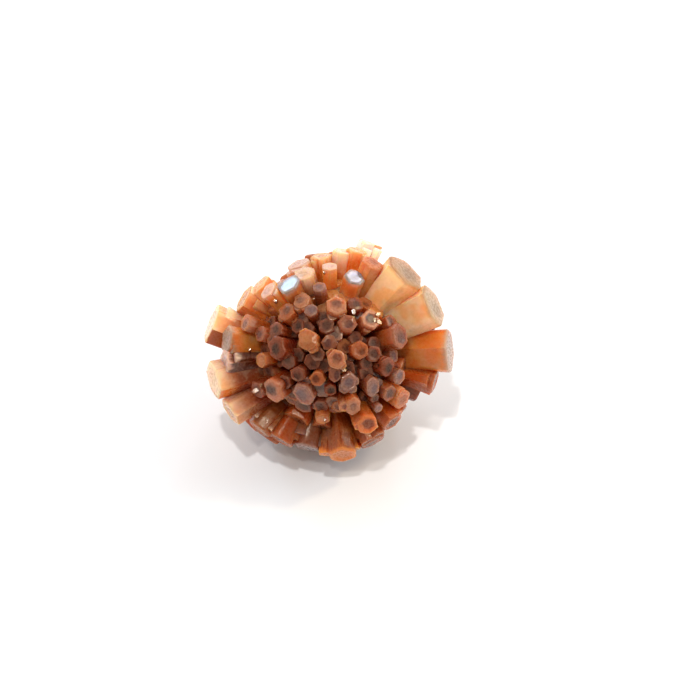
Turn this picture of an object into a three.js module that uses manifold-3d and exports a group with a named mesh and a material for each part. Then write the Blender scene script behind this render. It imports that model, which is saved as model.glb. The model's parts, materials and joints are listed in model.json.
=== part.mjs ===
// Aragonite sputnik cluster: hexagonal columns that grew outwards from one centre and into each other.
// Millimetres, +Z up. The origin is the middle of the flat column end that the cluster stands on, straight
// below the growth centre. Its best side, the display side, looks forward (-Y) and up.
import * as THREE from 'three';
import { mergeVertices } from 'three/addons/utils/BufferGeometryUtils.js';
import Module from 'manifold-3d';

const wasm = await Module();
wasm.setup();

// Driving dimensions
const CENTRE_HEIGHT = 11.0; // growth centre above the surface that the cluster rests on
const DISPLAY_RISE = 50; // degrees that the display side looks up from level
const PAST_CENTRE = 0.8; // how far a column starts behind its root, so that no hollow stays at the centre
const FLARE = 0.3; // share of its width that a column gains from root to end
const UNEVEN = 0.16; // how far a corner may stray round its outline, as a share of a side
const LEVEL = 0.3; // below this length, a direction is too near the column's axis to turn it by
const MERGE = 1e-4; // vertices closer than this are one
const FOOT = { width: 5.4, thickness: 0.95, turn: 8 }; // the stout column that the cluster stands on
const FLATNESS = 0.9; // thickness of a scattered column, as a share of its width
const COLOUR = 0xb8612c;
const ROUGHNESS = 0.35;

// Directions of the display side
const { degToRad, radToDeg, lerp } = THREE.MathUtils;
const rise = degToRad(DISPLAY_RISE);
const RIGHT = new THREE.Vector3(1, 0, 0);
const UP = new THREE.Vector3(0, Math.sin(rise), Math.cos(rise));
const TOWARDS = new THREE.Vector3(0, -Math.cos(rise), Math.sin(rise));
const DOWN = new THREE.Vector3(0, 0, -1);
const CENTRE = new THREE.Vector3(0, 0, CENTRE_HEIGHT);

// Columns of the display side. A row gives the middle of the flat end: right, up and towards the viewer from
// the growth centre, seen square on to the display side. Then come the width across corners, the thickness as
// a share of it, and the turn about the column's own axis in degrees. Two more numbers, where a column leans,
// say how far right and up of the growth centre it springs from.
const RIM = [
  [4.5, 12.1, 1.2, 3.0, 0.9, 10],
  [1.4, 11.1, 3.4, 2.2, 1.0, 20],
  [2.9, 11.2, 3.4, 2.3, 1.0, 5],
  [-0.9, 10.6, 3.2, 2.7, 0.9, 30],
  [-3.4, 9.7, 3.6, 3.0, 0.9, 0],
  [-2.8, 8.6, 6.0, 2.9, 0.9, 15],
  [-4.4, 7.4, 6.8, 3.2, 0.8, 0],
  [0.0, 9.3, 5.6, 1.9, 1.0, 0],
  [2.8, 8.2, 6.4, 2.6, 0.9, 10],
  [4.7, 9.7, 6.2, 3.0, 1.0, 20],
  [8.3, 8.7, 5.6, 5.2, 0.95, 12],
  [11.3, 5.1, 5.2, 5.2, 0.9, 0],
  [13.1, 0.1, 3.4, 5.4, 0.85, 25],
  [11.6, -3.2, 2.8, 3.2, 0.9, 0],
  [8.0, -5.2, 5.4, 2.6, 1.0, 12],
  [6.9, -7.7, 4.0, 2.8, 1.0, 8],
  [4.1, -7.9, 7.0, 2.6, 1.0, 30],
  [4.8, -10.0, 2.4, 3.4, 0.9, 0],
  [1.4, -11.3, 2.8, 4.4, 0.8, 0],
  [-2.5, -10.6, 2.2, 3.8, 0.9, 18],
  [-5.5, -9.7, 2.6, 3.6, 0.9, 0],
  [-7.8, -8.5, 2.8, 3.2, 0.9, 26],
  [-10.9, -6.6, 4.0, 3.6, 0.85, 10],
  [-12.7, -3.1, 4.6, 4.6, 0.9, 0],
  [-11.4, -1.0, 5.6, 3.0, 0.85, 20],
  [-11.2, 1.3, 5.6, 3.4, 0.85, 0],
  [-13.1, 3.2, 2.6, 5.0, 0.8, 12, 0, -2.3],
  [-9.5, 5.9, 2.8, 3.6, 0.9, 0],
  [-7.8, 7.4, 3.0, 3.2, 0.9, 25],
  [-6.7, 6.7, 6.2, 2.3, 0.9, 0],
  [-9.1, 3.2, 6.2, 2.2, 0.9, 14],
];
const MIDDLE = [
  [0.8, 5.0, 8.9, 2.5, 1.0, 0],
  [2.0, 3.1, 9.4, 2.2, 1.0, 20],
  [2.8, 5.2, 7.8, 1.9, 1.0, 0],
  [4.5, 3.5, 8.6, 2.4, 1.0, 10],
  [7.6, 1.8, 7.4, 3.2, 0.9, 5],
  [-2.3, 1.3, 10.2, 2.5, 1.0, 0],
  [-5.7, 0.5, 8.6, 2.8, 0.9, 15],
  [-7.4, -0.9, 7.6, 1.8, 1.0, 0],
  [-7.5, 2.0, 7.0, 1.9, 1.0, 30],
  [-5.8, 2.4, 7.9, 2.0, 1.0, 0],
  [0.8, -0.8, 10.2, 2.4, 0.9, 12],
  [3.3, 0.2, 9.4, 2.2, 1.0, 0],
  [4.8, -0.2, 8.6, 2.0, 1.0, 25],
  [6.3, -1.6, 8.0, 2.4, 0.9, 0],
  [7.6, -2.7, 7.0, 2.0, 0.9, 18],
  [6.5, -4.5, 6.9, 2.1, 0.9, 0],
  [4.7, -3.8, 8.1, 2.6, 0.7, 10],
  [2.1, -3.3, 9.1, 2.5, 0.8, 0],
  [-1.3, -2.9, 9.4, 1.8, 1.0, 20],
  [0.6, -2.3, 9.6, 2.2, 0.7, 0],
  [2.6, -5.9, 8.1, 2.7, 0.7, 10],
  [4.9, -5.0, 7.2, 1.3, 1.0, 0],
  [5.3, -6.1, 6.6, 1.2, 1.0, 0],
  [-6.1, -4.2, 7.8, 3.1, 0.9, 0],
  [-7.9, -4.1, 6.6, 2.2, 0.9, 20],
  [-2.8, -4.6, 8.6, 3.0, 0.8, 25],
  [0.1, -4.1, 8.6, 1.5, 1.0, 0],
  [-4.9, -3.3, 7.8, 1.8, 1.0, 10],
  [-0.8, -7.3, 6.8, 1.7, 1.0, 0],
  [6.7, 3.3, 7.0, 1.8, 1.0, 0],
  [-4.7, 4.4, 7.7, 2.4, 0.9, 20],
  [-3.0, 5.6, 7.8, 2.3, 0.9, 0],
  [-2.0, 4.5, 8.6, 1.7, 1.0, 0],
  [-1.1, 7.0, 7.3, 1.7, 1.0, 15],
  [-3.4, -2.4, 8.9, 1.9, 1.0, 0],
  [-0.3, 2.8, 9.0, 2.0, 1.0, 0],
  [0.0, 1.0, 9.3, 1.9, 1.0, 25],
];

// Short columns that fill the recesses between the others, in evenly scattered directions: first small ones on
// the display side, then stouter ones on the hidden sides. Angles are in degrees: from and to are measured from
// the middle of the display side, and clear is the least gap between a filler's axis and another column's side.
const FRONT_FILL = { count: 900, from: 0, to: 55, clear: 0.5, width: [1.7, 2.3], reach: [8.0, 9.3] };
const BACK_FILL = { count: 500, from: 64, to: 180, clear: 1.0, width: [2.4, 3.2], reach: [8.0, 9.6] };

// Columns of the hidden sides, in evenly scattered directions.
const BACK_COUNT = 150; // directions over the whole ball
const BACK_FROM = 74; // degrees from the middle of the display side where these columns may start
const BACK_APART = 15; // least angle between one of them and a column placed by hand, in degrees
const BACK_WIDTH = [3.0, 4.6];
const BACK_REACH = [10.2, 12.6];
const FOOT_APART = 20; // least angle between one of them and the foot column, in degrees
// How far they may reach from the axis of the display side, every 30 degrees clockwise from its top.
const SPREAD = [11.2, 12.2, 12.2, 13.2, 10.2, 10.8, 11.6, 11.6, 12.6, 11.8, 11.2, 9.8];

// An even but irregular share between 0 and 1 for item i of series k.
function vary(i, k) {
  const x = Math.sin(i * 12.9898 + k * 78.233) * 43758.5453;
  return x - Math.floor(x);
}

// A point given as right, up and towards the viewer of the display side, from the growth centre.
function onDisplay(right, up, towards) {
  return RIGHT.clone().multiplyScalar(right).addScaledVector(UP, up).addScaledVector(TOWARDS, towards);
}

// A direction spread evenly over the ball: item i of count, starting from the middle of the display side.
function scattered(i, count) {
  const towards = 1 - 2 * (i + 0.5) / count;
  const turn = i * Math.PI * (3 - Math.sqrt(5));
  const aside = Math.sqrt(1 - towards * towards);
  return onDisplay(aside * Math.cos(turn), aside * Math.sin(turn), towards);
}

// A six-sided, slightly uneven outline.
function outline(width, thickness, seed) {
  const points = [];
  for (let corner = 0; corner < 6; corner += 1) {
    const angle = (corner + UNEVEN * (vary(seed, corner) - 0.5)) * Math.PI / 3;
    points.push(new THREE.Vector2(Math.cos(angle) * width / 2, Math.sin(angle) * width * thickness / 2));
  }
  return new THREE.Shape(points);
}

// The solid of one column, from its root near the growth centre to its flat end.
function columnSolid({ root, end, width, thickness, turn }, seed) {
  const axis = end.clone().sub(root).normalize();
  const length = end.distanceTo(root) + PAST_CENTRE;
  const geometry = new THREE.ExtrudeGeometry(outline(width, thickness, seed), {
    depth: length,
    steps: 1,
    bevelEnabled: false,
  });
  const position = geometry.getAttribute('position');
  for (let i = 0; i < position.count; i += 1) {
    const grown = 1 - FLARE * (1 - position.getZ(i) / length);
    position.setXY(i, position.getX(i) * grown, position.getY(i) * grown);
  }
  const across = UP.clone().projectOnPlane(axis);
  if (across.length() < LEVEL) across.copy(TOWARDS).projectOnPlane(axis);
  across.normalize().applyAxisAngle(axis, degToRad(turn));
  const place = new THREE.Matrix4().makeBasis(across, axis.clone().cross(across), axis);
  place.setPosition(end.clone().addScaledVector(axis, -length).add(CENTRE));
  geometry.applyMatrix4(place);
  geometry.deleteAttribute('normal');
  geometry.deleteAttribute('uv');
  const merged = mergeVertices(geometry, MERGE);
  return new wasm.Manifold(new wasm.Mesh({
    numProp: 3,
    vertProperties: merged.getAttribute('position').array,
    triVerts: new Uint32Array(merged.index.array),
  }));
}

// A column from one row of the tables.
function placed([right, up, towards, width, thickness, turn, rootRight = 0, rootUp = 0]) {
  return { root: onDisplay(rootRight, rootUp, 0), end: onDisplay(right, up, towards), width, thickness, turn };
}

// A column straight out of the growth centre.
function radial(axis, reach, { width, thickness, turn }) {
  return { root: new THREE.Vector3(), end: axis.clone().multiplyScalar(reach), width, thickness, turn };
}

// The section of scattered column i: its width, from the given range, its thickness and its turn.
function section(i, widths) {
  return { width: lerp(...widths, vary(i, 1)), thickness: FLATNESS, turn: 60 * vary(i, 3) };
}

// The least angle, in degrees, between a direction and the axes of the columns that are there already.
function nearestAxis(axis, others) {
  return radToDeg(Math.min(...others.map(({ end }) => axis.angleTo(end))));
}

// The least angle, in degrees, between a direction and the sides of the columns that are there already.
function nearestSide(axis, others) {
  return radToDeg(Math.min(...others.map(({ end, width }) => axis.angleTo(end) - width / 2 / end.length())));
}

// How far the cluster may spread from the axis of the display side, towards the given direction.
function spreadTowards(axis) {
  const clock = (radToDeg(Math.atan2(axis.dot(RIGHT), axis.dot(UP))) + 360) % 360 / 30;
  const before = Math.floor(clock);
  return lerp(SPREAD[before], SPREAD[(before + 1) % SPREAD.length], clock - before);
}

// Short columns in the recesses that the others leave.
function fillers({ count, from, to, clear, width, reach }, others) {
  const found = [];
  for (let i = 0; i < count; i += 1) {
    const axis = scattered(i, count);
    const fromFront = axis.angleTo(TOWARDS);
    if (radToDeg(fromFront) < from || radToDeg(fromFront) > to) continue;
    if (nearestSide(axis, [...others, ...found]) < clear) continue;
    const length = Math.min(lerp(...reach, vary(i, 2)), spreadTowards(axis) / Math.sin(fromFront));
    found.push(radial(axis, length, section(i, width)));
  }
  return found;
}

// Columns of the hidden sides. None reaches past the spread of the display side or below the foot.
function backColumns(others) {
  const found = [];
  for (let i = 0; i < BACK_COUNT; i += 1) {
    const axis = scattered(i, BACK_COUNT);
    const fromFront = axis.angleTo(TOWARDS);
    const fromDown = axis.angleTo(DOWN);
    if (radToDeg(fromFront) < BACK_FROM || radToDeg(fromDown) < FOOT_APART) continue;
    if (nearestAxis(axis, others) < BACK_APART) continue;
    const form = section(i, BACK_WIDTH);
    const edge = form.width / 2;
    const room = spreadTowards(axis) - edge * Math.abs(Math.cos(fromFront));
    let reach = Math.min(lerp(...BACK_REACH, vary(i, 2)), room / Math.sin(fromFront));
    if (fromDown < Math.PI / 2) {
      reach = Math.min(reach, (CENTRE_HEIGHT - edge * Math.sin(fromDown)) / Math.cos(fromDown));
    }
    found.push(radial(axis, reach, form));
  }
  return found;
}

const columns = [...RIM, ...MIDDLE].map(placed);
columns.push(radial(DOWN, CENTRE_HEIGHT, FOOT), ...backColumns(columns));
columns.push(...fillers(FRONT_FILL, columns));
columns.push(...fillers(BACK_FILL, columns));

let solid = columnSolid(columns[0], 0);
columns.slice(1).forEach((each, index) => {
  solid = solid.add(columnSolid(each, index + 1));
});
const joined = solid.getMesh();
const geometry = new THREE.BufferGeometry();
geometry.setAttribute('position', new THREE.BufferAttribute(joined.vertProperties, 3));
geometry.setIndex(new THREE.BufferAttribute(joined.triVerts, 1));
geometry.computeVertexNormals();

const finish = new THREE.MeshStandardMaterial({ color: COLOUR, roughness: ROUGHNESS, metalness: 0 });
const cluster = new THREE.Mesh(geometry, finish);
cluster.name = 'aragonite_cluster';
const part = new THREE.Group();
part.add(cluster);

export default part;
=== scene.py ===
# %% [markdown]
# # Aragonite sputnik cluster
# This lesson grows a mineral specimen: some two hundred six-sided aragonite columns that started in one
# centre, grew outwards in all directions and grew into each other. The imported solid gives the place of
# every column, with flat faces and sharp edges. Here each column gets worn edges, growth ridges along its
# sides, a zoned end and a translucent finish, and in the end all of them are joined into one closed piece.
#
# The first cell loads the imported solid as a fixed frame.

# %% Load the frame
import json
import math
from collections import namedtuple

import bpy
import numpy as np
from mathutils import Matrix, Quaternion, Vector

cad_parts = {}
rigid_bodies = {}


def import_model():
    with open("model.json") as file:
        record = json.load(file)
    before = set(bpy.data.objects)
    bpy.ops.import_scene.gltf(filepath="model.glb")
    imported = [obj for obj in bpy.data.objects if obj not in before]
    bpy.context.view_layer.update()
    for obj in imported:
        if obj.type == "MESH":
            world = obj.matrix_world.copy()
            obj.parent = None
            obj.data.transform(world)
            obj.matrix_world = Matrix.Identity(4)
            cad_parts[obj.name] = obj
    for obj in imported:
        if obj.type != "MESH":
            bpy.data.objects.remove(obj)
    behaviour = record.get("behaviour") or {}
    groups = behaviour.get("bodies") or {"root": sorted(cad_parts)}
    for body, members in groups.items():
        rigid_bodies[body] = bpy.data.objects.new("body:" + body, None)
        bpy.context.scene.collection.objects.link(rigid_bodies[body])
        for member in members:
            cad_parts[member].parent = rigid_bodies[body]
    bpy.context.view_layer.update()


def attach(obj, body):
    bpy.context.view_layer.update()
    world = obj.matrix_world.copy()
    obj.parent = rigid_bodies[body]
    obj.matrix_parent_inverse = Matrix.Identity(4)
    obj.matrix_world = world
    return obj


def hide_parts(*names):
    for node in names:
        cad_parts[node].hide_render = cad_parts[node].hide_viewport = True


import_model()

scene = bpy.context.scene

# %% [markdown]
# ## Directions
# The specimen has a best side, the display side, which looks forward and half up. All columns that a viewer
# sees are placed by how far right, up and towards the viewer their ends lie, so three directions and the
# growth centre come first. Lengths are written in millimetres and multiplied by MM, because Blender works
# in metres.

# %% Display side
MM = 0.001
CENTRE_HEIGHT = 11.0 * MM  # growth centre above the surface that the cluster rests on
DISPLAY_RISE = math.radians(50)  # how far the display side looks up from level
RIGHT = Vector((1, 0, 0))
UP = Vector((0, math.sin(DISPLAY_RISE), math.cos(DISPLAY_RISE)))
TOWARDS = Vector((0, -math.cos(DISPLAY_RISE), math.sin(DISPLAY_RISE)))
DOWN = Vector((0, 0, -1))
CENTRE = Vector((0, 0, CENTRE_HEIGHT))


def on_display(right, up, towards):
    """A step in metres, given in millimetres right, up and towards the viewer of the display side."""
    return (RIGHT * right + UP * up + TOWARDS * towards) * MM


# %% [markdown]
# ## Camera
# A long lens shows a small thing with little perspective. The camera looks square on to the display side
# from a quarter of a metre away, and sees a field of about 77 mm, so the cluster fills a good third of the
# picture's width. It is moved sideways instead of turned, which keeps the view square.

# %% Camera
CAMERA_DISTANCE = 260 * MM
FIELD = 77.18 * MM  # width of the picture at the growth centre
SENSOR = 36.0  # millimetres, a full-frame sensor
ASIDE = on_display(2.2, 0.22, 0)  # the cluster sits a little left of and below the picture's middle

bpy.ops.object.camera_add(
    location=CENTRE + ASIDE + TOWARDS * CAMERA_DISTANCE,
    rotation=(-TOWARDS).to_track_quat("-Z", "Y").to_euler(),
)
camera = bpy.context.object
camera.data.sensor_width = SENSOR
camera.data.lens = SENSOR * CAMERA_DISTANCE / FIELD
camera.data.clip_start = 10 * MM
camera.data.clip_end = 30  # metres, past the far edge of the floor
scene.camera = camera
print("lens, mm:", round(camera.data.lens, 1))

# %% [markdown]
# ## Floor
# The specimen lies on a plain white sheet. One plane will do, as paper has no shape of its own here. It is
# far larger than the view, so that it has no visible edge from any side, and stays a little under full
# white, so that it can still show a shadow.

# %% Floor
FLOOR_SIZE = 20  # metres
PAPER_WHITE = 0.86
bpy.ops.mesh.primitive_plane_add(size=FLOOR_SIZE, location=(0, 0, 0))
floor = bpy.context.object
floor.name = "floor"
paper = bpy.data.materials.new("white_paper")
paper.use_nodes = True
paper_shader = paper.node_tree.nodes["Principled BSDF"]
paper_shader.inputs["Base Color"].default_value = (PAPER_WHITE, PAPER_WHITE, PAPER_WHITE, 1)
paper_shader.inputs["Roughness"].default_value = 0.8
paper_shader.inputs["Specular IOR Level"].default_value = 0.2
floor.data.materials.append(paper)
print("floor, m:", FLOOR_SIZE)

# %% [markdown]
# ## Lamps
# Two fairly small lamps nearly overhead give the jagged shadow close to the crystals, and a golden one from
# the side gives the small sparks. Two cool panels behind are what the flat crystal faces mirror, and a
# broad cool window lamp on the right clears the sides that face it. All are round area lamps: a point
# lamp's shadow would be too sharp, and its reflection in a crystal face too small to see. Two directions
# get names, because small crystals are later turned to mirror those lamps.

# %% Lamps
LAMP_DISTANCE = 0.6  # metres from the growth centre


def lamp(name, direction, size, power, colour):
    """A round soft lamp that shines at the growth centre from a direction."""
    away = Vector(direction).normalized()
    place = CENTRE + away * LAMP_DISTANCE
    bpy.ops.object.light_add(type="AREA", location=place, rotation=away.to_track_quat("Z", "Y").to_euler())
    made = bpy.context.object
    made.name = name
    made.data.shape = "DISK"
    made.data.size = size
    made.data.energy = power
    made.data.color = colour
    return made


OVERHEAD = Vector((-0.08, -0.27, 0.96))
SIDEWAYS = Vector((0.62, 0.16, 0.77))
lamps = [
    lamp("overhead_lamp", OVERHEAD, 0.03, 1.2, (1.0, 0.99, 0.98)),
    lamp("second_lamp", (-0.19, -0.41, 0.89), 0.04, 0.55, (1.0, 0.94, 0.87)),
    lamp("golden_lamp", SIDEWAYS, 0.06, 0.7, (1.0, 0.86, 0.62)),
    lamp("cool_panel", (-0.50, 0.79, 0.37), 0.20, 0.75, (0.44, 0.71, 1.0)),
    lamp("upper_panel", (0.30, 0.66, 0.68), 0.10, 0.24, (0.74, 0.80, 1.0)),
    lamp("window", (0.88, 0.10, 0.46), 0.30, 0.9, (0.76, 0.92, 1.0)),
]
print("lamps, W:", {each.name: round(each.data.energy, 2) for each in lamps})

# %% [markdown]
# ## Room
# Warm white light from the whole room fills the shadows. The room is darker behind the camera, where it
# isn't lit, so that the column ends that face the camera show their own dark colours. In a world, the
# Generated output of Texture Coordinate is the direction that a ray looks in, and its dot product with the
# direction towards the viewer is 1 straight behind the camera. The plain display transform keeps white
# paper white.

# %% Room
ROOM_COLOUR = (1.0, 0.95, 0.93, 1)
ROOM_STEP = {"From Min": 0.2, "From Max": 0.9, "To Min": 1.38, "To Max": 0.24}  # from product to strength

world = bpy.data.worlds.new("white_room")
world.use_nodes = True
room = world.node_tree
seen = room.nodes.new("ShaderNodeTexCoord")
facing = room.nodes.new("ShaderNodeVectorMath")
facing.operation = "DOT_PRODUCT"
facing.inputs[1].default_value = TOWARDS
dimming = room.nodes.new("ShaderNodeMapRange")
dimming.interpolation_type = "SMOOTHSTEP"
for name, value in ROOM_STEP.items():
    dimming.inputs[name].default_value = value
room.links.new(seen.outputs["Generated"], facing.inputs[0])
room.links.new(facing.outputs["Value"], dimming.inputs["Value"])
room.links.new(dimming.outputs["Result"], room.nodes["Background"].inputs["Strength"])
room.nodes["Background"].inputs["Color"].default_value = ROOM_COLOUR
scene.world = world
scene.view_settings.view_transform = "Standard"
print("room strength:", ROOM_STEP["To Min"], "in front,", ROOM_STEP["To Max"], "behind the camera")

# %% [markdown]
# ## Finishes
# Aragonite is clear by nature, and iron colours it. In one cluster the columns run from rust red through
# orange to cream, and most ends are zoned: a pale rim, which grew last and is clean, round a brown or mauve
# core. One material for each kind would repeat the same nodes, so a finish is only a row of values that one
# material reads: its three colours rim, core and body, then the length of the pale tip on the sides in mm
# and how glassy the faces still are, from 0 to 1. How far down the sides the painted light reaches before
# the painted shade of the recesses, how streaky and how speckled they are comes last, against an ordinary
# column. Most names are those that a dealer would use.

# %% Finishes
Finish = namedtuple("Finish", "rim core body tip gloss glow streaks grains", defaults=(1.0, 1.0, 1.0))


def linear(colour):
    """A colour given as three numbers from 0 to 255, as linear light."""
    shares = [part / 255 for part in colour]
    return tuple(s / 12.92 if s <= 0.04045 else ((s + 0.055) / 1.055) ** 2.4 for s in shares)


def finish_of(rim, core, body, *rest):
    return Finish(linear(rim), linear(core), linear(body), *rest)


FINISHES = {
    "mauve": finish_of((139, 84, 60), (96, 56, 48), (152, 74, 30), 0.5, 0.1),
    "peach": finish_of((166, 108, 75), (122, 75, 56), (164, 80, 26), 0.6, 0.2),
    "amber": finish_of((152, 94, 56), (168, 110, 68), (160, 82, 26), 0.6, 0.05, 1.2, 1.0, 1.0),
    "toffee": finish_of((204, 120, 42), (196, 110, 34), (140, 66, 20), 0.3, 0.1, 1.8, 1.0, 1.4),
    "apricot": finish_of((224, 170, 122), (206, 140, 88), (208, 112, 42), 0.8, 0.2, 1.3, 0.6),
    # A bright orange that is painted light: it goes on lower sides that the lamps leave too dark, and on the
    # upper edge.
    "painted_light_orange": finish_of((214, 134, 72), (206, 120, 60), (232, 146, 70), 0.3, 0.2, 1.6, 0.6),
    "lavender": finish_of((202, 162, 142), (188, 152, 138), (230, 154, 82), 0.2, 0.3, 1.8, 0.5, 0.5),
    "copper": finish_of((164, 132, 112), (156, 126, 108), (206, 126, 54), 0.2, 0.2, 1.2, 0.6, 0.2),
    "plum": finish_of((208, 170, 154), (186, 152, 146), (102, 45, 20), 0.2, 0.3, 0.7),
    "violet": finish_of((168, 111, 84), (74, 41, 37), (142, 62, 20), 0.5, 0.1),
    "grey": finish_of((134, 95, 82), (108, 83, 83), (134, 72, 38), 0.4, 0.2),
    "dark": finish_of((116, 64, 44), (80, 41, 30), (120, 50, 20), 0.3, 0.05),
    "rust": finish_of((158, 88, 48), (104, 50, 26), (168, 78, 24), 0.4, 0.1, 1.2, 1.0, 1.4),
    "brick": finish_of((184, 114, 74), (160, 92, 58), (208, 130, 70), 0.5, 0.1, 1.5),
    "ruby": finish_of((116, 56, 33), (54, 21, 13), (134, 54, 22), 0.3, 0.05),
    "cream": finish_of((236, 204, 168), (228, 193, 156), (212, 116, 50), 1.8, 0.2, 0.45, 0.4, 0.7),
    "ember": finish_of((222, 160, 108), (226, 158, 98), (238, 184, 122), 0.6, 0.2, 1.3, 0.4),
    "honey": finish_of((166, 127, 88), (138, 100, 64), (240, 198, 146), 0.05, 0.3, 1.5, 0.15, 0.05),
    "butter": finish_of((176, 145, 110), (150, 118, 84), (242, 200, 152), 0.05, 0.3, 1.7, 0.15, 0.05),
    "russet": finish_of((186, 108, 58), (122, 58, 30), (160, 82, 32), 0.4, 0.1, 1.2, 1.0, 1.2),
    "shell": finish_of((212, 174, 142), (192, 152, 122), (182, 124, 86), 1.2, 0.2, 0.6, 0.5, 0.6),
    "ice": finish_of((246, 231, 214), (238, 214, 188), (240, 210, 180), 1.2, 0.3, 1.5, 0.3, 0.5),
    # The mirror finish's grey rim and core are partly painted reflection of the cool panel, on top of the
    # reflection that its gloss gives.
    "mirror": finish_of((140, 130, 130), (126, 118, 122), (210, 130, 70), 0.2, 1.0, 1.3, 0.5, 0.1),
    "spark": finish_of((110, 66, 30), (96, 54, 24), (90, 40, 16), 0.2, 0.8, 1.0, 1.0, 1.3),
}
print("finishes:", ", ".join(FINISHES))

# %% [markdown]
# ## Columns of the display side
# The frame's solid was made from these same rules, so the two fit everywhere. The columns of the display
# side are what the specimen is known by, so each has a row of its own, with its finish. They are numbered
# from 0 through both tables, first the rim and then the middle, and later tables refer to them by that
# number.

# %% Columns of the display side
Column = namedtuple("Column", "root end width thickness turn finish")

# Right, up and towards the viewer in mm, width in mm, thickness as a share of it, turn in degrees, finish
# and, where a column leans, how far right and up of the growth centre it springs from, in mm.
RIM = [
    (4.5, 12.1, 1.2, 3.0, 0.9, 10, "ice"),
    (1.4, 11.1, 3.4, 2.2, 1.0, 20, "cream"),
    (2.9, 11.2, 3.4, 2.3, 1.0, 5, "apricot"),
    (-0.9, 10.6, 3.2, 2.7, 0.9, 30, "apricot"),
    (-3.4, 9.7, 3.6, 3.0, 0.9, 0, "lavender"),
    (-2.8, 8.6, 6.0, 2.9, 0.9, 15, "shell"),
    (-4.4, 7.4, 6.8, 3.2, 0.8, 0, "mirror"),
    (0.0, 9.3, 5.6, 1.9, 1.0, 0, "lavender"),
    (2.7, 8.1, 6.8, 2.5, 0.9, 10, "mirror"),
    (4.7, 9.7, 6.2, 2.7, 1.0, 20, "brick"),
    (8.3, 8.7, 5.6, 5.2, 0.95, 12, "honey"),
    (11.3, 5.1, 5.2, 5.2, 0.9, 0, "butter"),
    (13.1, 0.1, 3.4, 5.4, 0.85, 25, "copper"),
    (11.6, -3.2, 2.8, 3.2, 0.9, 0, "rust"),
    (8.0, -5.2, 5.4, 2.6, 1.0, 12, "brick"),
    (6.9, -7.7, 4.0, 2.8, 1.0, 8, "rust"),
    (4.1, -7.9, 7.0, 2.6, 1.0, 30, "russet"),
    (4.8, -10.0, 2.4, 3.4, 0.9, 0, "rust"),
    (1.4, -11.3, 2.8, 4.4, 0.8, 0, "toffee"),
    (-2.5, -10.6, 2.2, 3.8, 0.9, 18, "grey"),
    (-5.5, -9.7, 2.6, 3.6, 0.9, 0, "rust"),
    (-7.8, -8.5, 2.8, 3.2, 0.9, 26, "amber"),
    (-10.9, -6.6, 4.0, 3.6, 0.85, 10, "shell"),
    (-12.7, -3.1, 4.6, 4.6, 0.9, 0, "cream"),
    (-11.4, -1.0, 5.6, 3.0, 0.85, 20, "plum"),
    (-11.2, 1.3, 5.6, 3.4, 0.85, 0, "copper"),
    (-13.1, 3.2, 2.6, 5.0, 0.8, 12, "cream", 0, -2.3),
    (-9.5, 5.9, 2.8, 3.6, 0.9, 0, "apricot"),
    (-7.8, 7.4, 3.0, 3.2, 0.9, 25, "ember"),
    (-6.7, 6.7, 6.2, 2.3, 0.9, 0, "lavender"),
    (-9.1, 3.2, 6.2, 2.2, 0.9, 14, "peach"),
]
MIDDLE = [
    (0.8, 5.0, 8.9, 2.5, 1.0, 0, "peach"),
    (2.0, 3.1, 9.4, 2.2, 1.0, 20, "mauve"),
    (2.8, 5.2, 7.8, 1.9, 1.0, 0, "dark"),
    (4.5, 3.5, 8.6, 2.4, 1.0, 10, "violet"),
    (7.6, 1.8, 7.4, 3.2, 0.9, 5, "mauve"),
    (-2.3, 1.3, 10.2, 2.5, 1.0, 0, "amber"),
    (-5.7, 0.5, 8.6, 2.8, 0.9, 15, "ruby"),
    (-7.4, -0.9, 7.6, 1.8, 1.0, 0, "amber"),
    (-7.5, 2.0, 7.0, 1.9, 1.0, 30, "mauve"),
    (-5.8, 2.4, 7.9, 2.0, 1.0, 0, "dark"),
    (0.8, -0.8, 10.2, 2.4, 0.9, 12, "peach"),
    (3.3, 0.2, 9.4, 2.2, 1.0, 0, "rust"),
    (4.8, -0.2, 8.6, 2.0, 1.0, 25, "dark"),
    (6.3, -1.6, 8.0, 2.4, 0.9, 0, "ruby"),
    (7.6, -2.7, 7.0, 2.0, 0.9, 18, "grey"),
    (6.5, -4.5, 6.9, 2.1, 0.9, 0, "mauve"),
    (4.7, -3.8, 8.1, 2.6, 0.7, 10, "grey"),
    (2.1, -3.3, 9.1, 2.5, 0.8, 0, "grey"),
    (-1.3, -2.9, 9.4, 1.8, 1.0, 20, "rust"),
    (0.6, -2.3, 9.6, 2.2, 0.7, 0, "mauve"),
    (2.6, -5.9, 8.1, 2.7, 0.7, 10, "peach"),
    (4.9, -5.0, 7.2, 1.3, 1.0, 0, "dark"),
    (5.3, -6.1, 6.6, 1.2, 1.0, 0, "grey"),
    (-6.1, -4.2, 7.8, 3.1, 0.9, 180, "violet"),
    (-7.9, -4.1, 6.6, 2.2, 0.9, 20, "dark"),
    (-2.8, -4.6, 8.6, 3.0, 0.8, 25, "grey"),
    (0.1, -4.1, 8.6, 1.5, 1.0, 0, "ruby"),
    (-4.9, -3.3, 7.8, 1.8, 1.0, 10, "dark"),
    (-0.8, -7.3, 6.8, 1.7, 1.0, 0, "amber"),
    (6.7, 3.3, 7.0, 1.8, 1.0, 0, "mauve"),
    (-4.7, 4.4, 7.7, 2.4, 0.9, 20, "rust"),
    (-3.0, 5.6, 7.8, 2.3, 0.9, 0, "peach"),
    (-2.0, 4.5, 8.6, 1.7, 1.0, 0, "grey"),
    (-1.1, 7.0, 7.3, 1.7, 1.0, 15, "grey"),
    (-3.4, -2.4, 8.9, 1.9, 1.0, 0, "dark"),
    (-0.3, 2.8, 9.0, 2.0, 1.0, 0, "dark"),
    (0.0, 1.0, 9.3, 1.9, 1.0, 25, "mauve"),
]


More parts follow.
